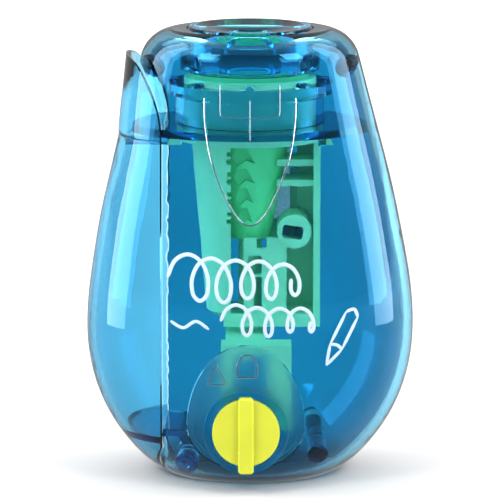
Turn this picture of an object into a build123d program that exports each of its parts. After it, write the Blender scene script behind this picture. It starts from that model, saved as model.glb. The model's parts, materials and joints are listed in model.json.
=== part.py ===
from build123d import *
import math
import os

# Hand-held pencil sharpener. Millimetres, +Z up, front towards -Y.
# The origin is the middle of the flat base, straight below the pencil hole.

# Egg-shaped shell: half width against height, from the flat base to the shoulder
WALL = 1.5
DEPTH_RATIO = 0.8
BASE_R = 15.0
EGG_SIDE = [(20.2, 3.2), (25.5, 9.4), (29.8, 19.0), (31.0, 28.0), (29.7, 41.8), (26.3, 58.5), (20.6, 80.0)]
SHOULDER_END = (15.0, 85.1)
BASE_RISE = (1.0, 0.35)
BASE_TRIM = 0.5
SHOULDER_LEAN = (-0.25, 0.97)
EGG_STEPS = 10

# Shavings door: the left cap of the egg, whose upper end stands off as a thumb lip
DOOR_SIDE = EGG_SIDE[:5] + [(27.2, 55.0), (24.7, 65.0), (24.2, 73.0)]
LIP_END = (23.2, 83.0)
DOOR_X = -16.2
DOOR_GAP = 0.3
DOOR_TIP_X = -15.7
LIP_EDGE = [(DOOR_X, 66.0), (-17.1, 71.8), (-19.9, 77.8), (-24.2, 80.8)]
SCOOP_Z = 8.2
SCOOP_T = 1.4
SCOOP_END_X = -9.2
SCOOP_HALF_Y = 7.7

# Door hinge, along Y
HINGE_X = -11.6
HINGE_Z = 4.6
HINGE_SWEEP_R = 5.2
PIN_R = 1.2
KNUCKLE_R = 2.45
KNUCKLE_Y = (5.0, 7.5)
RUNNING = 0.05

# Top opening, pencil funnel and the deck that carries the cutter unit
NECK_R = 12.0
NECK_WALL = 1.2
NECK_Z = 77.5
FUNNEL_TOP = 85.5
FUNNEL_BOTTOM = 77.0
PENCIL_R = 4.05
DECK_Z = 66.0
DECK_T = 1.4
LUG_Y = 13.8
SEAT_R = 12.8
SEAT_TOP = 75.0
SEAT_WALL = 1.3
SEAT_BAND_R = 15.6
SEAT_BAND_H = 2.0
BUMP_R = 0.9
BUMP_COUNT = 8

# Cutter carrier and the sharpening cone inside it
COLLAR_R = 12.5
COLLAR_TOP = 76.0
COLLAR_WALL = 1.4
PLATE_R = 13.8
PLATE_Z = 64.2
PLATE_T = 1.6
FOOT_Z = 29.0
FOOT_T = 2.5
CONE_TOP_Z = 65.8
CONE_TOP_R = 7.8
CONE_FOOT_Z = 45.2
CONE_FOOT_R = 3.8
CONE_BORE_TOP_Z = 67.0
CONE_BORE_FOOT_Z = 47.5
CONE_BORE_FOOT_R = 0.95

# Point selector on the front, and the stop that it lifts and lowers
KNOB_X = -0.76
KNOB_Z = 12.0
KNOB_R = 6.3
KNOB_TURN = 27.0
KNOB_FACE_Y = -23.5
KNOB_BACK_Y = -22.0
GRIP_FRONT_Y = -24.75
GRIP_W = 2.9
GRIP_LENGTH = 14.4
GRIP_CORNER = 0.7
SHAFT_R = 2.0
DIAL_FLOOR_Y = -21.7
DIAL_FLOOR_T = 1.5
DIAL_RIM_Y = -22.6
DIAL_BACK_Y = -15.6
DIAL_RECESS_R = 6.9
DIAL_RIM_R = 7.9
CAM_Y = -19.5
CAM_T = 1.4
CAM_R = 4.2
THROW = 3.2
THROW_PIN_R = 0.7
STOP_R = 2.2
STOP_TOP_Z = 44.6
STOP_TIP_Z = 49.0
BRIDGE_Z = 26.0
BRIDGE_T = 1.6
LEG_Y = (-17.8, -16.2)
LEG_FOOT_Z = 10.2
RIGHT_LEG_FOOT_Z = 11.6
PANEL_Z = 12.8
PANEL_HALF_X = 10.9
PANEL_RISE = 16.0
PANEL_DROP = 9.2
PANEL_STEP = 0.9

# Shell screws: x and z of each axis, and the Y of the seat that the head pulls on
SCREWS = [(-17.4, 78.6, 5.2), (17.4, 78.6, 5.2), (12.5, 6.4, 10.5)]
SCREW_R = 0.75
SCREW_END_Y = -4.0
HEAD_R = 1.5
HEAD_T = 1.2
POST_R = 1.9

# Round dimple on the right flank, under a finger of the hand that holds the shell
DIMPLE_X = 30.2
DIMPLE_R = 7.0

FAR = 80.0


def egg(inset, side=EGG_SIDE, end=SHOULDER_END, lean=SHOULDER_LEAN):
    """The rounded form that the shell follows, drawn in by inset and flattened from front to back."""
    guide = Spline(*([(BASE_R, 0)] + side), tangents=[BASE_RISE, lean])
    top_z = end[1] - inset
    along = [(guide @ step, guide % step) for step in [index / EGG_STEPS for index in range(EGG_STEPS + 1)]]
    points = [(place.X - inset * slope.Y, place.Y + inset * slope.X) for place, slope in along]
    flank = Spline(*points, tangents=[BASE_RISE, lean])
    foot = flank @ 0
    shoulder = flank @ 1
    crown = TangentArc([(shoulder.X, shoulder.Y), (end[0], top_z)], tangent=lean)
    core = Polyline((end[0], top_z), (0, top_z), (0, foot.Y - BASE_TRIM), (foot.X, foot.Y - BASE_TRIM), (foot.X, foot.Y))
    solid = revolve(Plane.XZ * make_face([flank, crown, core]), axis=Axis.Z)
    return scale(solid, by=(1, DEPTH_RATIO, 1)) - span((-FAR, FAR), (-FAR, FAR), (-FAR, foot.Y))


def span(x, y, z):
    """A block between two limits along each axis."""
    size = [high - low for low, high in (x, y, z)]
    centre = [(high + low) / 2 for low, high in (x, y, z)]
    return Pos(*centre) * Box(*size)


def post(x, z, radius, y_from, y_to):
    """A round bar along Y."""
    return Pos(x, (y_from + y_to) / 2, z) * Rot(90, 0, 0) * Cylinder(radius, abs(y_to - y_from))


def upright(radius, low, high, x=0.0, y=0.0):
    """A round bar along Z."""
    return Pos(x, y, (low + high) / 2) * Cylinder(radius, high - low)


def prism(sketch, y_from=-FAR, y_to=FAR):
    """A sketch drawn in X and Z, extended along Y."""
    return extrude(Plane.XZ.offset(-y_to) * sketch, amount=y_to - y_from)


def turned(points):
    """A body of revolution about Z from its half section."""
    return revolve(Plane.XZ * make_face(Polyline(*points, close=True)), axis=Axis.Z)


def half(solid, front):
    """The front or the rear half of a solid."""
    return solid & span((-FAR, FAR), (-FAR, 0) if front else (0, FAR), (-FAR, 2 * FAR))


def door_zone(gap, corner_x):
    """The space on the door's side of its seam: a plane, the lip's curve, and a round about the hinge."""
    edge = [(x - gap, z) for x, z in LIP_EDGE]
    curve = Spline(*edge, tangents=[(0, 1), (-1, 0.15)])
    far_corner = (-FAR, edge[-1][1])
    sides = Polyline(edge[-1], far_corner, (-FAR, -FAR), (edge[0][0], -FAR), edge[0])
    zone = prism(make_face([curve, sides]))
    zone += span((-FAR, corner_x), (-FAR, FAR), (-FAR, HINGE_Z))
    return zone - post(HINGE_X, HINGE_Z, HINGE_SWEEP_R + gap, -FAR, FAR)


def panel_face(grow=0.0):
    """The egg-shaped outline of the selector panel: two half ellipses of one width."""
    width = PANEL_HALF_X + grow
    above = Pos(0, FAR / 2) * Rectangle(FAR, FAR)
    below = Pos(0, -FAR / 2) * Rectangle(FAR, FAR)
    face = (Ellipse(width, PANEL_RISE + grow) & above) + (Ellipse(width, PANEL_DROP + grow) & below)
    return Pos(KNOB_X, PANEL_Z) * face


def shell_half(front, cuts):
    """One half of the clear shell, with its neck, deck lugs, hinge stub and screw posts, less the cuts."""
    side = -1 if front else 1
    hollow = half(egg(WALL), front)
    hollow -= upright(NECK_R + NECK_WALL, NECK_Z, FAR + 20)
    lugs = [span((x - 1.5, x + 1.5), (-FAR, FAR), (DECK_Z - 1.2, DECK_Z)) for x in (-14.0, 14.0)]
    hollow -= [lug - span((-FAR, FAR), (-LUG_Y, LUG_Y), (0, FAR)) for lug in lugs]
    posts = [post(x, z, POST_R, -FAR, FAR) for x, z, _ in SCREWS]
    posts.append(post(HINGE_X, HINGE_Z, PIN_R, side * KNUCKLE_Y[0], side * FAR))
    posts.append(post(HINGE_X, HINGE_Z, PIN_R + 0.9, side * (KNUCKLE_Y[1] + DOOR_GAP), side * FAR))
    hollow -= posts
    return half(egg(0), front) - hollow - [upright(NECK_R, NECK_Z - 1, FAR + 20), door_zone(0.0, HINGE_X)] - cuts


def front_shell():
    """Front half: pilot holes for the screws and the opening for the selector panel."""
    cuts = [post(x, z, SCREW_R, SCREW_END_Y, 1) for x, z, _ in SCREWS]
    cuts.append(prism(panel_face(RUNNING), -FAR, 0))
    return shell_half(True, cuts)


def rear_shell():
    """Rear half: screw holes with sunk heads, and the side dimple for the grip hand."""
    cuts = [post(x, z, SCREW_R, -1, seat_y) for x, z, seat_y in SCREWS]
    cuts += [post(x, z, HEAD_R + 0.25, seat_y, FAR) for x, z, seat_y in SCREWS]
    cuts.append(Pos(DIMPLE_X + DIMPLE_R, 3.4, 31.5) * Sphere(DIMPLE_R))
    return shell_half(False, cuts)


def selector_panel():
    """Egg-shaped panel with a stepped border and the round dial seat."""
    field = prism(panel_face(-PANEL_STEP), -FAR, 0)
    border = prism(panel_face(), -FAR, 0) - field
    skin = (border & egg(0)) + (field & egg(0.5))
    skin -= egg(WALL + 0.3)
    floor_back = DIAL_FLOOR_Y + DIAL_FLOOR_T
    skin -= post(KNOB_X, KNOB_Z, DIAL_RIM_R, -FAR, DIAL_RIM_Y)
    skin -= post(KNOB_X, KNOB_Z, DIAL_RIM_R - 0.3, DIAL_RIM_Y, 0)
    dial = post(KNOB_X, KNOB_Z, DIAL_RIM_R, DIAL_RIM_Y, DIAL_BACK_Y)
    dial -= post(KNOB_X, KNOB_Z, DIAL_RECESS_R, -FAR, DIAL_FLOOR_Y)
    dial -= post(KNOB_X, KNOB_Z, DIAL_RIM_R - 1.6, floor_back, 0)
    dial -= span((-FAR, FAR), (LEG_Y[0] - 0.4, 0), (KNOB_Z - 5.5, FAR))
    dial -= post(KNOB_X, KNOB_Z, SHAFT_R + RUNNING, -FAR, 0)
    return skin + dial


def shavings_door():
    """Left cap of the shell with its thumb lip, scoop floor, hinge knuckles and latch tongue."""
    lean = (-0.12, 1.0)
    skin_out = egg(0, DOOR_SIDE, LIP_END, lean)
    skin_in = egg(WALL, DOOR_SIDE, LIP_END, lean)
    zone = door_zone(DOOR_GAP, DOOR_TIP_X)
    body = (skin_out - skin_in) & zone
    body = body & span((-FAR, FAR), (-FAR, FAR), (-1, LIP_EDGE[-1][1]))
    slab = span((-FAR, FAR), (-FAR, FAR), (SCOOP_Z, SCOOP_Z + SCOOP_T))
    body += slab & egg(WALL / 2, DOOR_SIDE, LIP_END, lean) & zone
    reach = (DOOR_X - 1.0, SCOOP_END_X)
    body += span(reach, (-SCOOP_HALF_Y, SCOOP_HALF_Y), (SCOOP_Z, SCOOP_Z + SCOOP_T))
    for side in (-1, 1):
        near, far = sorted(side * y for y in KNUCKLE_Y)
        arm = span((HINGE_X - 1.2, HINGE_X + KNUCKLE_R), (near, far), (HINGE_Z, SCOOP_Z))
        body += post(HINGE_X, HINGE_Z, KNUCKLE_R, near, far) + arm
        body -= post(HINGE_X, HINGE_Z, PIN_R + RUNNING, near, far)
    tongue = span((-24.2, -15.4), (-2.5, 2.5), (63.2, 64.2))
    bead = Pos(-16.0, 0, 64.2) * Rot(90, 0, 0) * Cylinder(0.5, 5.0)
    return body + tongue + bead


def pencil_funnel():
    """Turned entry piece: rounded lip, shallow dish, pencil bore, and a hollow between tube and rim."""
    lip_r = NECK_R - 0.1
    section = [(PENCIL_R, FUNNEL_BOTTOM), (5.9, FUNNEL_BOTTOM), (5.9, 82.4), (9.6, 82.8), (9.9, FUNNEL_BOTTOM),
               (lip_r, FUNNEL_BOTTOM), (lip_r, 84.9), (11.4, FUNNEL_TOP), (10.4, FUNNEL_TOP), (4.7, 84.1),
               (PENCIL_R, 83.3)]
    body = turned(section)
    rim = body.edges().filter_by(GeomType.CIRCLE).filter_by(lambda e: e.center().Z > FUNNEL_TOP - 0.01)
    return fillet(rim, 0.28)


def support_deck():
    """Flat deck across the shell with a round hole for the carrier and a nib for the door's latch."""
    slab = span((-FAR, FAR), (-FAR, FAR), (DECK_Z, DECK_Z + DECK_T))
    body = egg(WALL + 0.15) & slab
    body -= upright(SEAT_R, DECK_Z - 1, DECK_Z + DECK_T + 1)
    body += span((-17.4, -16.6), (-3.0, 3.0), (64.9, DECK_Z))
    return body


def cutter_seat():
    """Upright ring on the deck, with a banded rim and half-round bumps round its top edge."""
    wall_r = SEAT_R + SEAT_WALL
    foot = DECK_Z + DECK_T
    body = turned([(SEAT_R, foot), (wall_r, foot), (wall_r, SEAT_TOP - SEAT_BAND_H - 0.6),
                   (SEAT_BAND_R, SEAT_TOP - SEAT_BAND_H), (SEAT_BAND_R, SEAT_TOP), (SEAT_R, SEAT_TOP)])
    bump_len = SEAT_BAND_R - SEAT_R
    for index in range(BUMP_COUNT):
        bump = Pos(SEAT_R + bump_len / 2 - 0.1, 0, SEAT_TOP) * Rot(0, 90, 0) * Cylinder(BUMP_R, bump_len - 0.2)
        body += Rot(0, 0, 90 + index * 360 / BUMP_COUNT) * bump
    return body - upright(SEAT_R, foot - 1, SEAT_TOP + 2)


def carrier_window(x, z, width, height, corner=0.3):
    """A rounded window through the carrier's front panel."""
    return prism(Pos(x, z) * RectangleRounded(width, height, corner), -9.0, -4.0)


def carrier_comb():
    """The small notches down the front edge of the carrier's left wall."""
    cuts = []
    for index in range(4):
        z = 60.9 - 3.85 * index
        cuts.append(post(-3.9, z, 0.55, -12, 0))
        cuts.append(span((-4.3, -3.0), (-12, 0), (z + 1.0, z + 1.9)))
    return cuts


def slot_boss():
    """The slotted round post in the carrier's channel."""
    body = post(8.3, 47.3, 3.2, -7.2, 5.0)
    slot = prism(Pos(8.0, 47.2) * Rot(0, 0, -8) * RectangleRounded(3.9, 2.5, 0.6), -8.0, 4.5)
    return body, slot


def cutter_carrier():
    """Green frame: collar, left wall, right channel with shelves, front panel, slotted boss and foot."""
    body = upright(COLLAR_R, CONE_TOP_Z, COLLAR_TOP) - upright(COLLAR_R - COLLAR_WALL, CONE_TOP_Z, COLLAR_TOP)
    body += upright(PLATE_R, PLATE_Z, PLATE_Z + PLATE_T)
    wall = turned([(8.6, PLATE_Z), (10.1, PLATE_Z), (7.3, 31.5), (3.2, FOOT_Z), (2.6, FOOT_Z + FOOT_T),
                   (5.8, 32.5)])
    wall = Pos(-1.0, 0, 0) * wall & span((-FAR, -3.6), (-FAR, FAR), (0, FAR))
    for cut in carrier_comb():
        wall -= cut
    body += wall
    body += span((4.0, 13.2), (4.5, 6.0), (FOOT_Z, PLATE_Z))
    body += span((11.9, 13.2), (-6.5, 6.0), (FOOT_Z, PLATE_Z))
    for z in (59.6, 55.7):
        body += span((5.0, 12.0), (-5.6, 4.6), (z, z + 1.2))
    body += span((-5.0, 13.2), (-6.5, 6.0), (FOOT_Z, FOOT_Z + FOOT_T))
    body += span((-1.2, 6.9), (-6.5, -5.2), (FOOT_Z, CONE_FOOT_Z + 0.8))
    body += span((5.7, 6.9), (-6.5, 5.0), (FOOT_Z, CONE_FOOT_Z - 3.0))
    body -= carrier_window(2.2, 45.0, 1.9, 2.0)
    body -= carrier_window(0.9, 40.8, 2.6, 3.6)
    body -= carrier_window(1.5, 35.4, 1.5, 6.4)
    boss, slot = slot_boss()
    body = body + boss - slot
    body -= blade_block(-4.2, 9.0, 0.0, 3.4, 19.0)
    clear_cone = turned([(0, CONE_TOP_Z), (CONE_TOP_R + 0.1, CONE_TOP_Z), (CONE_FOOT_R + 0.1, CONE_FOOT_Z),
                         (0, CONE_FOOT_Z)])
    body -= clear_cone
    body -= upright(CONE_TOP_R + 0.1, PLATE_Z - 1, CONE_TOP_Z)
    body -= upright(STOP_R + RUNNING, FOOT_Z - 1, FOOT_Z + FOOT_T + 1)
    for x, z in peg_places():
        body -= post(x, z, 0.65, -8, 5.0)
    return body


def peg_places():
    """Axes of the two pegs in the boss slot."""
    return [(6.9, 47.4), (9.3, 47.1)]


def carrier_pegs():
    """Two pins that cross the carrier's slot and sit in its back wall."""
    first, second = [post(x, z, 0.65, -7.0, 5.0) for x, z in peg_places()]
    return Compound(children=[first, second])


def bore_r(z):
    """Radius of the pencil cone at a height."""
    slope = (PENCIL_R - CONE_BORE_FOOT_R) / (CONE_BORE_TOP_Z - CONE_BORE_FOOT_Z)
    return CONE_BORE_FOOT_R + slope * (z - CONE_BORE_FOOT_Z)


def blade_plane():
    """Plane of the blade's cutting face, touching the pencil cone along its rear side."""
    middle = 57.0
    tilt = math.atan((bore_r(60) - bore_r(50)) / 10)
    up = Vector(0, math.sin(tilt), math.cos(tilt))
    out = Vector(0, math.cos(tilt), -math.sin(tilt))
    return Plane(origin=(0, bore_r(middle), middle), x_dir=up, z_dir=out)


def blade_block(x_low, x_high, depth_low, depth_high, length):
    """A block laid on the blade plane: width along X, depth outwards, length down the cone."""
    across = (x_low + x_high) / 2
    depth = (depth_low + depth_high) / 2
    return blade_plane() * Pos(0, across, depth) * Box(length, x_high - x_low, depth_high - depth_low)


def blade_screw_bar(radius, low, high):
    """A round bar square to the blade, at the blade's fixing hole."""
    return blade_plane() * Pos(0, 4.0, (low + high) / 2) * Cylinder(radius, high - low)


def sharpening_cone():
    """Cone block: top flange, pencil cone, stop hole, front pockets, blade flat and shavings slot."""
    body = turned([(0, CONE_FOOT_Z), (CONE_FOOT_R, CONE_FOOT_Z), (CONE_TOP_R, CONE_TOP_Z), (10.8, CONE_TOP_Z),
                   (10.8, CONE_BORE_TOP_Z), (0, CONE_BORE_TOP_Z)])
    body -= turned([(0, CONE_BORE_FOOT_Z), (CONE_BORE_FOOT_R, CONE_BORE_FOOT_Z),
                    (PENCIL_R, CONE_BORE_TOP_Z), (0, CONE_BORE_TOP_Z)])
    body -= upright(CONE_BORE_FOOT_R, CONE_FOOT_Z - 1, CONE_BORE_FOOT_Z)
    leaf = [(-3.2, -0.5), (-2.5, 1.3), (-0.4, 1.5), (1.3, -1.4), (-0.5, -0.8), (-2.0, -1.9)]
    for index in range(4):
        shrink = 1.0 - 0.14 * index
        outline = [(x * shrink - 0.3, 61.6 - 3.85 * index + z) for x, z in leaf]
        skin = 1.3 - 0.1 * index
        pocket_y = -(CONE_FOOT_R + (CONE_TOP_R - CONE_FOOT_R) * (outline[0][1] - CONE_FOOT_Z) / 20.6) + skin
        body -= prism(make_face(Polyline(*outline, close=True)), -12, pocket_y)
    body -= blade_block(-1.4, 9.0, 0.0, 6.0, 17.5)
    body -= blade_block(-3.6, -0.4, -1.0, 6.0, 15.0)
    return body - blade_screw_bar(1.0, -3.0, 0.5)


def sharpener_blade():
    """Steel blade with a ground edge beside the pencil cone."""
    body = blade_block(-0.4, 7.6, 0.0, 1.0, 17.2)
    grind = blade_plane() * Pos(0, -0.4, 1.0) * Rot(45, 0, 0) * Box(18, 1.3, 1.3)
    return body - grind - blade_screw_bar(1.0, -0.5, 1.5)


def blade_screw():
    """Slotted screw that clamps the blade to the cone block."""
    body = blade_screw_bar(1.0, -3.0, 1.0) + blade_screw_bar(2.1, 1.0, 2.1)
    slot = blade_plane() * Pos(0, 4.0, 2.0) * Box(5, 0.5, 0.8)
    return body - slot


def throw_angle():
    """Resting angle of the throw pin above the knob's level, half of its whole turn."""
    return math.radians(KNOB_TURN / 2)


def tip_stop():
    """Stop column with the bracket that reaches forward and straddles the knob's hub."""
    body = upright(STOP_R, BRIDGE_Z, STOP_TOP_Z)
    body += span((-4.6, 3.0), (LEG_Y[0], STOP_R), (BRIDGE_Z, BRIDGE_Z + BRIDGE_T))
    body += span((-5.4, 7.7), (LEG_Y[0], LEG_Y[1] + 4.5), (BRIDGE_Z, BRIDGE_Z + BRIDGE_T))
    left = span((-5.4, -2.95), LEG_Y, (LEG_FOOT_Z, BRIDGE_Z + BRIDGE_T))
    right = span((3.3, 7.7), LEG_Y, (RIGHT_LEG_FOOT_Z, BRIDGE_Z + BRIDGE_T))
    rib = span((-1.6, -0.2), (LEG_Y[0], 0), (BRIDGE_Z - 1.4, BRIDGE_Z + 0.2))
    body += left + right + rib
    pin_z = KNOB_Z + THROW * math.sin(throw_angle())
    reach = THROW_PIN_R + RUNNING
    body -= span((-4.75, -2.5), (LEG_Y[0] - 1, LEG_Y[1] + 1), (pin_z - reach, pin_z + reach))
    return body - upright(0.85, 38.0, STOP_TOP_Z + 1)


def stop_pin():
    """Hard tip that the pencil's lead meets, pressed into the stop column."""
    return upright(0.85, 38.0, STOP_TIP_Z)


def selector_knob():
    """Dial with a bar grip, turning on a shaft through the panel."""
    body = post(KNOB_X, KNOB_Z, KNOB_R, KNOB_FACE_Y, KNOB_BACK_Y)
    body += post(KNOB_X, KNOB_Z, SHAFT_R, KNOB_BACK_Y, CAM_Y + CAM_T)
    grip = Pos(KNOB_X, KNOB_Z - 0.4) * RectangleRounded(GRIP_W, GRIP_LENGTH, GRIP_CORNER)
    body += prism(grip, GRIP_FRONT_Y, KNOB_FACE_Y + 0.6)
    body = fillet(body.faces().filter_by(Axis.Y).sort_by(Axis.Y)[0].edges(), 0.35)
    return body - post(KNOB_X, KNOB_Z, 0.8, CAM_Y - 2.0, 0)


def selector_cam():
    """Disc on the end of the knob's shaft, with the throw pin and two detent dents in its rim."""
    body = post(KNOB_X, KNOB_Z, CAM_R, CAM_Y, CAM_Y + CAM_T)
    pin_x = KNOB_X - THROW * math.cos(throw_angle())
    pin_z = KNOB_Z + THROW * math.sin(throw_angle())
    body += post(pin_x, pin_z, THROW_PIN_R, CAM_Y + CAM_T, LEG_Y[1] - 0.2)
    for turn in (0, -KNOB_TURN):
        angle = math.radians(90 + turn)
        body -= post(KNOB_X + CAM_R * math.cos(angle), KNOB_Z + CAM_R * math.sin(angle), 0.5, CAM_Y - 1, CAM_Y + 2)
    return body - post(KNOB_X, KNOB_Z, SHAFT_R, CAM_Y - 1, CAM_Y + CAM_T)


def cam_washer():
    """Washer between the cam and its screw."""
    low = CAM_Y + CAM_T
    return post(KNOB_X, KNOB_Z, 1.95, low, low + 0.4) - post(KNOB_X, KNOB_Z, 0.85, low - 1, low + 1)


def cam_screw():
    """Screw that holds the cam on the knob's shaft."""
    seat = CAM_Y + CAM_T + 0.4
    body = post(KNOB_X, KNOB_Z, 0.8, CAM_Y - 2.0, seat) + post(KNOB_X, KNOB_Z, 1.6, seat, seat + 1.0)
    cross = span((KNOB_X - 0.9, KNOB_X + 0.9), (seat + 0.5, seat + 2), (KNOB_Z - 0.2, KNOB_Z + 0.2))
    return body - cross - Pos(KNOB_X, 0, KNOB_Z) * Rot(0, 90, 0) * Pos(-KNOB_X, 0, -KNOB_Z) * cross


def detent_spring():
    """Thin bent strip above the cam, whose round nib gives the knob its two clicks."""
    reach = 3.1
    low, high = CAM_Y + 0.1, CAM_Y + CAM_T - 0.1
    leaf = span((KNOB_X - reach, KNOB_X + reach), (low, high), (17.0, 17.3))
    nib = post(KNOB_X, 16.85, 0.5, low, high) - post(KNOB_X, 16.85, 0.25, low - 1, high + 1)
    for x in (KNOB_X - reach, KNOB_X + reach - 0.3):
        leaf += span((x, x + 0.3), (DIAL_FLOOR_Y + DIAL_FLOOR_T, high), (16.2, 17.3))
    return leaf + nib


def shell_screws():
    """The three screws that pull the rear shell onto the front shell."""
    screws = []
    for x, z, seat_y in SCREWS:
        body = post(x, z, SCREW_R, SCREW_END_Y, seat_y) + post(x, z, HEAD_R, seat_y, seat_y + HEAD_T)
        for turn in (0, 90):
            cross = Box(1.7, 1.2, 0.35)
            body -= Pos(x, seat_y + HEAD_T, z) * Rot(0, turn, 0) * cross
        screws.append(body)
    return Compound(children=screws)


def main():
    os.makedirs("parts", exist_ok=True)
    parts = {
        "front_shell": front_shell(),
        "rear_shell": rear_shell(),
        "selector_panel": selector_panel(),
        "shavings_door": shavings_door(),
        "pencil_funnel": pencil_funnel(),
        "support_deck": support_deck(),
        "cutter_seat": cutter_seat(),
        "cutter_carrier": cutter_carrier(),
        "carrier_pegs": carrier_pegs(),
        "sharpening_cone": sharpening_cone(),
        "sharpener_blade": sharpener_blade(),
        "blade_screw": blade_screw(),
        "tip_stop": tip_stop(),
        "stop_pin": stop_pin(),
        "selector_knob": selector_knob(),
        "selector_cam": selector_cam(),
        "cam_washer": cam_washer(),
        "cam_screw": cam_screw(),
        "detent_spring": detent_spring(),
        "shell_screws": shell_screws(),
    }
    for name, shape in parts.items():
        export_step(shape, f"parts/{name}.step")


main()
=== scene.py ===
import json
import math

import bpy
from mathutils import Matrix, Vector
from mathutils.bvhtree import BVHTree


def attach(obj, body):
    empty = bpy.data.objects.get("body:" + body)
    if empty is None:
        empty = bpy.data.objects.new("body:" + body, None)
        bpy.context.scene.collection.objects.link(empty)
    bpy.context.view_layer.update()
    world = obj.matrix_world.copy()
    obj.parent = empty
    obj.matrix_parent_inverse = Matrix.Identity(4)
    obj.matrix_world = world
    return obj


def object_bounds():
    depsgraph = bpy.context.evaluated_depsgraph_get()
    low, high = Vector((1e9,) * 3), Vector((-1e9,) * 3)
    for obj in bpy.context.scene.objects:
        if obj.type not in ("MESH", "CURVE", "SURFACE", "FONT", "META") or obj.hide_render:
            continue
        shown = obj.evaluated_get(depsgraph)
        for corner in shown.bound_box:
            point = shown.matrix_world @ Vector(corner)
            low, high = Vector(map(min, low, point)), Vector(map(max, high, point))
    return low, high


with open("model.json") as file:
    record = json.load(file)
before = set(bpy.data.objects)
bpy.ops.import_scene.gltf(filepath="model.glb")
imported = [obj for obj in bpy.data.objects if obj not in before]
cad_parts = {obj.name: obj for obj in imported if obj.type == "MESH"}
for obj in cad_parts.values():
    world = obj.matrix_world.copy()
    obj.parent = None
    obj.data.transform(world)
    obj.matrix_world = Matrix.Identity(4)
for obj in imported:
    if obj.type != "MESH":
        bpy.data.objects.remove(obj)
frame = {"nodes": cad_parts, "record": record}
NODES = frame["nodes"]
CAD_BOX = [list(corner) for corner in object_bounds()]

MM = 0.001
LOW, HIGH = [Vector(corner) for corner in CAD_BOX]

# The view: level with the object's middle, a little above it, through a long lens
VIEW_ELEVATION = math.radians(10)
VIEW_DISTANCE = 0.9
VIEW_WIDTH = 0.095
VIEW_DROP = 0.2 * MM
AIM = Vector((0, 0, (LOW.z + HIGH.z) / 2 - VIEW_DROP))
SENSOR = 36.0

# The floor is a little darker where the lights are close, so that it shows evenly white
FLOOR_NEAR = 0.15
FLOOR_FAR = 0.9
FLOOR_UNDER_LIGHTS = (0.42, 0.42, 0.42, 1)
FLOOR_BEYOND = (0.95, 0.95, 0.95, 1)

# Around the object
WORLD_STRENGTH = 0.55
OVERHEAD_AT = (0, 0.55, 1.4)
OVERHEAD_AIM = Vector((0, 0.55, 0))
OVERHEAD_SIZE = (3.0, 2.6)
OVERHEAD_WATTS = 62.0
SIDE_LIGHT_AT = (0.50, 0.06, 0.26)
SIDE_LIGHT_SIZE = (0.26, 0.7)
SIDE_LIGHT_WATTS = 4.6
FRONT_LIGHT_AT = (0.42, -0.45, 0.55)
FRONT_LIGHT_SIZE = (0.22, 0.22)
FRONT_LIGHT_WATTS = 3.2

# What is left of white light after one wall: the front is pale enough to show what is inside, and the
# rear wall is the deep backdrop. The skin takes its share of the tint, and the depth crossed takes the rest
WALL = 1.6 * MM
PALE_BLUE = (0.42, 0.80, 0.97)
MID_BLUE = (0.42, 0.88, 0.99)
DOOR_BLUE = (0.24, 0.60, 0.78)
DEEP_BLUE = (0.004, 0.148, 0.29)
SKIN_SHARE = 0.6
GLINT = (0.10, 0.50, 0.80, 1)
CLEAR_IOR = 1.49
WHITE_INK = (0.42, 0.53, 0.67, 1)

# Finding the shell's front: rays start this far before it, and look this far aside where a seam is in the way
RAY_START = 20 * MM
SEAM_ASIDE = 0.4 * MM

# The printed strokes stand this far off the shell, and narrow over a few steps to their round ends
INK_LIFT = 0.05 * MM
INK_END_SHARE = 0.45
INK_END_STEPS = 3
INK_ACROSS = (-1, -0.5, 0, 0.5, 1)

# Moulded lines
OUTLINE_RADIUS = 0.17
BAND_RADIUS = 0.09
TUBE_SIDES = 8


# ---------------------------------------------------------------- materials

def new_material(name):
    """An empty node material with its Principled shader."""
    material = bpy.data.materials.new(name)
    material.use_nodes = True
    return material, material.node_tree, material.node_tree.nodes["Principled BSDF"]


def noise(tree, scale, detail=4.0, stretch=(1, 1, 1)):
    """Noise over the object's own coordinates, in metres."""
    coordinates = tree.nodes.new("ShaderNodeTexCoord")
    mapping = tree.nodes.new("ShaderNodeMapping")
    mapping.inputs["Scale"].default_value = stretch
    texture = tree.nodes.new("ShaderNodeTexNoise")
    texture.inputs["Scale"].default_value = scale
    texture.inputs["Detail"].default_value = detail
    tree.links.new(coordinates.outputs["Object"], mapping.inputs["Vector"])
    tree.links.new(mapping.outputs["Vector"], texture.inputs["Vector"])
    return texture.outputs["Fac"]


def ramp(tree, value, low, high):
    """Spreads a 0 to 1 value between two numbers or two colours."""
    node = tree.nodes.new("ShaderNodeMix")
    if isinstance(low, tuple):
        node.data_type = "RGBA"
        sockets = [s for s in node.inputs if s.type == "RGBA"]
        out = [s for s in node.outputs if s.type == "RGBA"][0]
    else:
        node.data_type = "FLOAT"
        sockets = [s for s in node.inputs if s.type == "VALUE" and s.name in ("A", "B")]
        out = [s for s in node.outputs if s.type == "VALUE"][0]
    sockets[0].default_value = low
    sockets[1].default_value = high
    tree.links.new(value, node.inputs[0])
    return out


def bump(tree, shader, layers):
    """Stacks bump layers, each a height value with its depth in metres."""
    previous = None
    for height, depth in layers:
        node = tree.nodes.new("ShaderNodeBump")
        node.inputs["Strength"].default_value = 1.0
        node.inputs["Distance"].default_value = depth
        tree.links.new(height, node.inputs["Height"])
        if previous:
            tree.links.new(previous, node.inputs["Normal"])
        previous = node.outputs["Normal"]
    tree.links.new(previous, shader.inputs["Normal"])


def shade(colour, factor):
    """A colour made lighter or darker."""
    return tuple(min(1.0, c * factor) for c in colour[:3]) + (1,)


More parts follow.
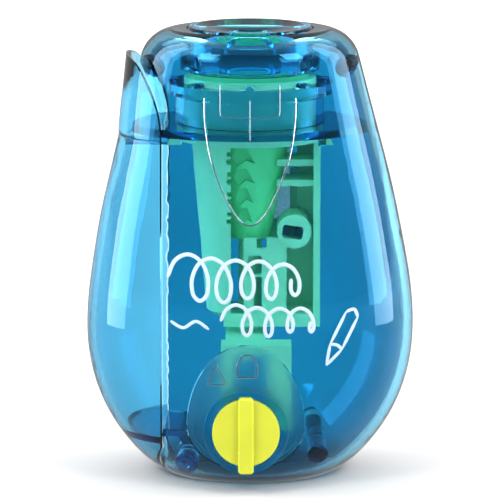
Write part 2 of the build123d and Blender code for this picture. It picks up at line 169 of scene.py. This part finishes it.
def clear_plastic(name, left_after_wall, roughness=0.02):
    """Clear moulding, tinted at its skin and by depth, with faint flow waves and hairline marks."""
    material, tree, shader = new_material(name)
    skin = tuple(left ** SKIN_SHARE for left in left_after_wall)
    drift = ramp(tree, noise(tree, 60, 2), shade(skin, 0.97), shade(skin, 1.02))
    tree.links.new(drift, shader.inputs["Base Color"])
    hazed = ramp(tree, noise(tree, 900, 6, (1, 1, 0.2)), roughness * 0.4, roughness * 2.2)
    tree.links.new(hazed, shader.inputs["Roughness"])
    shader.inputs["Transmission Weight"].default_value = 1.0
    shader.inputs["IOR"].default_value = CLEAR_IOR
    shader.inputs["Specular IOR Level"].default_value = 0.25
    shader.inputs["Specular Tint"].default_value = GLINT
    bump(tree, shader, [(noise(tree, 45, 1), 6e-5), (noise(tree, 1400, 5, (1, 1, 0.1)), 4e-7)])

    dye = tree.nodes.new("ShaderNodeVolumeAbsorption")
    strongest = math.log(min(left_after_wall))
    dye.inputs["Color"].default_value = [1 - math.log(left) / strongest for left in left_after_wall] + [1]
    dye.inputs["Density"].default_value = -strongest * (1 - SKIN_SHARE) / WALL
    output = tree.nodes["Material Output"]
    tree.links.new(dye.outputs["Volume"], output.inputs["Volume"])
    return material


def moulded_plastic(name, colour, roughness=0.34, glow=0.12, grain=1800):
    """Opaque moulding: cloudy pigment, fine tool texture and light that enters a little below the skin."""
    material, tree, shader = new_material(name)
    cloudy = ramp(tree, noise(tree, 130, 5), shade(colour, 0.86), shade(colour, 1.12))
    tree.links.new(cloudy, shader.inputs["Base Color"])
    worn = ramp(tree, noise(tree, 420, 6), roughness * 0.75, roughness * 1.3)
    tree.links.new(worn, shader.inputs["Roughness"])
    shader.inputs["IOR"].default_value = 1.5
    shader.inputs["Subsurface Weight"].default_value = glow
    shader.inputs["Subsurface Radius"].default_value = (0.8, 1.0, 0.6)
    shader.inputs["Subsurface Scale"].default_value = 0.001
    bump(tree, shader, [(noise(tree, grain, 3), 6e-6), (noise(tree, 150, 2), 2e-5)])
    return material


def metal(name, colour, roughness, brushed=(1, 1, 1)):
    """Bare metal with fine lines along one direction."""
    material, tree, shader = new_material(name)
    lines = noise(tree, 2500, 4, brushed)
    tree.links.new(ramp(tree, lines, shade(colour, 0.8), shade(colour, 1.1)), shader.inputs["Base Color"])
    tree.links.new(ramp(tree, lines, roughness * 0.7, roughness * 1.5), shader.inputs["Roughness"])
    shader.inputs["Metallic"].default_value = 1.0
    bump(tree, shader, [(lines, 3e-6)])
    return material


def ink(name, colour):
    """Pad-printed ink: slightly uneven edges of coverage and a dry surface."""
    material, tree, shader = new_material(name)
    cover = ramp(tree, noise(tree, 900, 5), shade(colour, 0.93), shade(colour, 1.04))
    tree.links.new(cover, shader.inputs["Base Color"])
    tree.links.new(ramp(tree, noise(tree, 2600, 4), 0.38, 0.62), shader.inputs["Roughness"])
    bump(tree, shader, [(noise(tree, 3200, 4), 5e-6)])
    return material


MATERIALS = {
    "clear_blue": clear_plastic("clear_blue", PALE_BLUE),
    "mid_blue": clear_plastic("mid_blue", MID_BLUE),
    "door_blue": clear_plastic("door_blue", DOOR_BLUE),
    "deep_blue": clear_plastic("deep_blue", DEEP_BLUE, roughness=0.05),
    "frosted_blue": clear_plastic("frosted_blue", PALE_BLUE, roughness=0.34),
    "green": moulded_plastic("green", (0.50, 0.98, 0.50, 1)),
    "green_cone": moulded_plastic("green_cone", (0.24, 0.92, 0.31, 1)),
    "lime": moulded_plastic("lime", (0.54, 0.57, 0.03, 1), roughness=0.24, glow=0.2, grain=900),
    "white_acetal": moulded_plastic("white_acetal", (0.80, 0.81, 0.78, 1)),
    "blade_steel": metal("blade_steel", (0.62, 0.63, 0.65, 1), 0.22, (1, 0.05, 1)),
    "screw_steel": metal("screw_steel", (0.66, 0.67, 0.70, 1), 0.26),
    "spring_steel": metal("spring_steel", (0.55, 0.56, 0.58, 1), 0.3, (0.05, 1, 1)),
    "ink": ink("ink", WHITE_INK),
}


# Clear nodes that differ from the plain clear plastic
TINTS = {"rear_shell": "deep_blue", "selector_panel": "frosted_blue", "pencil_funnel": "mid_blue",
         "shavings_door": "door_blue"}


def dress_frame():
    """Gives every CAD node its material."""
    for part in frame["record"]["subparts"]:
        node = NODES[part["node"]]
        node.data.materials.clear()
        node.data.materials.append(MATERIALS[TINTS.get(part["node"], part["material_slot"])])


# ---------------------------------------------------------------- lines laid on the shell

def surface_of(*names):
    """A tree to find points on CAD nodes."""
    points, faces = [], []
    for name in names:
        mesh = NODES[name].data
        start = len(points)
        points += [v.co.copy() for v in mesh.vertices]
        faces += [tuple(start + i for i in p.vertices) for p in mesh.polygons]
    return BVHTree.FromPolygons(points, faces)


def on_front(tree, x, z, lift):
    """The point on the shell's front at x and z, and the outward direction there. Bridges narrow seams."""
    for aside in (0, SEAM_ASIDE, -SEAM_ASIDE):
        start = Vector((x + aside, LOW.y - RAY_START, z))
        hit, normal, _, _ = tree.ray_cast(start, Vector((0, 1, 0)))
        if hit and hit.y < 0:
            break
    if normal.y > 0:
        normal = -normal
    return Vector((x, hit.y, hit.z)) + normal * lift, normal


def smooth(points, closed=False, steps=10):
    """A flowing line through the points, as many short steps (Catmull-Rom)."""
    points = [Vector(p) for p in points]
    count = len(points)
    line = []
    for i in range(count if closed else count - 1):
        places = range(i - 1, i + 3)
        if closed:
            before, start, end, after = [points[k % count] for k in places]
        else:
            before, start, end, after = [points[min(max(k, 0), count - 1)] for k in places]
        slope = end - before
        bend = 2 * before - 5 * start + 4 * end - after
        twist = 3 * (start - end) - before + after
        for step in range(steps):
            t = step / steps
            line.append((2 * start + slope * t + bend * t * t + twist * t ** 3) / 2)
    if not closed:
        line.append(points[-1])
    return line


def finish_mesh(name, points, faces, material, body):
    """A smooth-shaded piece that rides on a CAD body."""
    mesh = bpy.data.meshes.new(name)
    mesh.from_pydata(points, [], faces)
    mesh.update()
    mesh.materials.append(MATERIALS[material])
    for polygon in mesh.polygons:
        polygon.use_smooth = True
    piece = bpy.data.objects.new(name, mesh)
    bpy.context.scene.collection.objects.link(piece)
    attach(piece, body)
    return piece


def printed_line(name, tree, points, width):
    """A flat inked stroke with rounded ends, laid on the shell. Points and width in millimetres."""
    line = smooth([(x * MM, z * MM) for x, z in points])
    half = width * MM / 2
    verts, faces = [], []
    last = len(line) - 1
    for i, point in enumerate(line):
        along = (line[min(i + 1, last)] - line[max(i - 1, 0)]).normalized()
        across = Vector((-along.y, along.x))
        from_end = min(i, last - i) / INK_END_STEPS
        reach = half * min(1.0, INK_END_SHARE + (1 - INK_END_SHARE) * from_end)
        for k in INK_ACROSS:
            x, z = point + across * reach * k
            verts.append(on_front(tree, x, z, INK_LIFT * (1 - 0.8 * abs(k) ** 3))[0])
    wide = len(INK_ACROSS)
    for i in range(last):
        a, b = wide * i, wide * (i + 1)
        faces += [(a + k, a + k + 1, b + k + 1, b + k) for k in range(wide - 1)]
    return finish_mesh(name, verts, faces, "ink", "housing")


def raised_line(name, tree, points, radius, closed=False, curved=True):
    """A moulded line of round section, half sunk in the shell. Points and radius in millimetres."""
    flat = [(x * MM, z * MM) for x, z in points]
    if curved:
        flat = smooth(flat, closed)
    else:
        flat = straight(flat, closed)
    placed = [on_front(tree, x, z, 0) for x, z in flat]
    verts, faces = [], []
    count = len(placed)
    for i, (point, normal) in enumerate(placed):
        before = placed[(i - 1) % count][0] if closed else placed[max(i - 1, 0)][0]
        after = placed[(i + 1) % count][0] if closed else placed[min(i + 1, count - 1)][0]
        along = (after - before).normalized()
        across = along.cross(normal).normalized()
        for side in range(TUBE_SIDES):
            angle = math.tau * side / TUBE_SIDES
            verts.append(point + (across * math.cos(angle) + normal * math.sin(angle)) * radius * MM)
    for i in range(count if closed else count - 1):
        a, b = TUBE_SIDES * i, TUBE_SIDES * ((i + 1) % count)
        for side in range(TUBE_SIDES):
            beside = (side + 1) % TUBE_SIDES
            faces.append((a + side, a + beside, b + beside, b + side))
    if not closed:
        faces.append(tuple(reversed(range(TUBE_SIDES))))
        faces.append(tuple(range(TUBE_SIDES * (count - 1), TUBE_SIDES * count)))
    return finish_mesh(name, verts, faces, "clear_blue", "housing")


def straight(points, closed, step=0.5 * MM):
    """The same corners, with short steps between them."""
    ring = points + points[:1] if closed else points
    line = []
    for (x0, z0), (x1, z1) in zip(ring, ring[1:]):
        parts = max(1, round(math.hypot(x1 - x0, z1 - z0) / step))
        line += [(x0 + (x1 - x0) * k / parts, z0 + (z1 - z0) * k / parts) for k in range(parts)]
    if not closed:
        line.append(points[-1])
    return line


def moulded_pencil(tree):
    """The pencil outline moulded on the front of the shell above the print."""
    half = [(8.4, 74.0), (8.35, 70.2), (7.6, 64.6), (6.3, 60.2),
            (4.8, 56.5), (3.1, 53.4), (1.4, 51.5), (0.0, 51.0)]
    raised_line("pencil_outline", tree, half + [(-x, z) for x, z in reversed(half[:-1])], OUTLINE_RADIUS)
    band = [(5.5, 76.4), (5.5, 73.5), (5.45, 71.4), (4.9, 70.7), (0.0, 70.5)]
    raised_line("pencil_band", tree, band + [(-x, z) for x, z in reversed(band[:-1])], BAND_RADIUS)
    raised_line("pencil_ridge", tree, [(0, 73.6), (0, 71.0), (0, 68.0), (0, 66.4)], BAND_RADIUS)


def point_symbols(tree):
    """The two raised symbols above the knob: a sharp point and a blunt one."""
    sharp = [(-8.0, 21.3), (-4.5, 21.3), (-6.25, 25.0)]
    blunt = [(-2.4, 22.7), (1.2, 22.7), (1.2, 25.2), (0.2, 27.0), (-1.4, 27.0), (-2.4, 25.2)]
    for name, outline in (("symbol_sharp", sharp), ("symbol_blunt", blunt)):
        raised_line(name, tree, outline, OUTLINE_RADIUS, closed=True, curved=False)


def scribble(start_x, z, loops, pitch, size):
    """A loose looping scribble that runs to the right and grows smaller."""
    points = []
    steps = 8
    for k in range(loops * steps + 1):
        turn = math.tau * k / steps
        scale = size * (1.0 - 0.35 * k / (loops * steps))
        x = start_x + pitch * k / steps - scale * 0.62 * math.cos(turn)
        points.append((x, z + scale * math.sin(turn) + 0.25 * math.sin(turn / 2.3)))
    return points


def print_motif(tree):
    """A generic white print in place of lettering: two scribbled lines, a wave and a small pencil."""
    printed_line("print_loops_upper", tree, scribble(-12.6, 41.0, 5, 4.4, 4.4), 0.72)
    printed_line("print_loops_lower", tree, scribble(-3.6, 33.4, 4, 4.0, 3.0), 0.68)
    near, far, tip = (14.9, 28.6), (17.1, 27.4), (14.2, 24.6)
    near_end, far_end = (17.9, 34.4), (20.1, 33.2)
    strokes = {
        "print_wave": [(-14.8, 33.0), (-12.4, 31.9), (-10.0, 33.2), (-7.6, 31.8)],
        "print_pencil_side_1": [near, near_end],
        "print_pencil_side_2": [far, far_end],
        "print_pencil_end": [near_end, (19.4, 34.7), far_end],
        "print_pencil_collar": [near, (16.2, 28.3), far],
        "print_pencil_point_1": [near, tip],
        "print_pencil_point_2": [far, tip],
    }
    for name, points in strokes.items():
        printed_line(name, tree, points, 0.6)


# ---------------------------------------------------------------- stage

def floor():
    """Plain pale floor, large enough to fill every view."""
    size = 4.0
    corners = [(-size, -size, 0), (size, -size, 0), (size, size, 0), (-size, size, 0)]
    mesh = bpy.data.meshes.new("floor")
    mesh.from_pydata(corners, [], [(0, 1, 2, 3)])
    material, tree, shader = new_material("floor_paint")
    place = tree.nodes.new("ShaderNodeTexCoord")
    distance = tree.nodes.new("ShaderNodeVectorMath")
    distance.operation = "LENGTH"
    tree.links.new(place.outputs["Object"], distance.inputs[0])
    spread = tree.nodes.new("ShaderNodeMapRange")
    spread.interpolation_type = "SMOOTHSTEP"
    spread.inputs["From Min"].default_value = FLOOR_NEAR
    spread.inputs["From Max"].default_value = FLOOR_FAR
    tree.links.new(distance.outputs["Value"], spread.inputs["Value"])
    pale = ramp(tree, spread.outputs["Result"], FLOOR_UNDER_LIGHTS, FLOOR_BEYOND)
    tree.links.new(pale, shader.inputs["Base Color"])
    shader.inputs["Roughness"].default_value = 0.9
    shader.inputs["Specular IOR Level"].default_value = 0.1
    mesh.materials.append(material)
    plane = bpy.data.objects.new("floor", mesh)
    bpy.context.scene.collection.objects.link(plane)
    plane.visible_glossy = False  # the clear shell carries no grey image of the floor


def soft_light(name, place, size, power, aim=AIM):
    """A rectangular soft light that faces the object."""
    lamp = bpy.data.lights.new(name, "AREA")
    lamp.shape = "RECTANGLE"
    lamp.size, lamp.size_y = size
    lamp.energy = power
    holder = bpy.data.objects.new(name, lamp)
    holder.location = place
    holder.rotation_euler = (aim - Vector(place)).to_track_quat("-Z", "Y").to_euler()
    bpy.context.scene.collection.objects.link(holder)
    return holder


def studio():
    """White surroundings with soft lights at both sides, at the front and above."""
    world = bpy.data.worlds.new("studio")
    world.use_nodes = True
    background = world.node_tree.nodes["Background"]
    background.inputs["Color"].default_value = (1, 1, 1, 1)
    background.inputs["Strength"].default_value = WORLD_STRENGTH
    bpy.context.scene.world = world
    for side, mirror in (("left", -1), ("right", 1)):
        x, y, z = SIDE_LIGHT_AT
        soft_light(f"light_{side}", (mirror * x, y, z), SIDE_LIGHT_SIZE, SIDE_LIGHT_WATTS)
    for side, mirror in (("left", -1), ("right", 1)):
        x, y, z = FRONT_LIGHT_AT
        soft_light(f"light_front_{side}", (mirror * x, y, z), FRONT_LIGHT_SIZE, FRONT_LIGHT_WATTS)
    above = soft_light("light_above", OVERHEAD_AT, OVERHEAD_SIZE, OVERHEAD_WATTS, OVERHEAD_AIM)
    above.visible_glossy = False  # it whitens the floor without a white veil on the shoulders


def camera():
    """A long lens at the front, ten degrees above level."""
    lens = bpy.data.cameras.new("camera")
    lens.sensor_width = SENSOR
    lens.lens = SENSOR * VIEW_DISTANCE / VIEW_WIDTH
    lens.clip_start = 0.05
    holder = bpy.data.objects.new("camera", lens)
    away = Vector((0, -math.cos(VIEW_ELEVATION), math.sin(VIEW_ELEVATION)))
    holder.location = AIM + away * VIEW_DISTANCE
    holder.rotation_euler = (-away).to_track_quat("-Z", "Y").to_euler()
    bpy.context.scene.collection.objects.link(holder)
    bpy.context.scene.camera = holder


camera()
floor()
studio()
bpy.context.scene.view_settings.view_transform = "Standard"
dress_frame()
shell_front = surface_of("front_shell", "selector_panel", "shavings_door")
moulded_pencil(shell_front)
point_symbols(shell_front)
print_motif(shell_front)

bpy.context.view_layer.update()
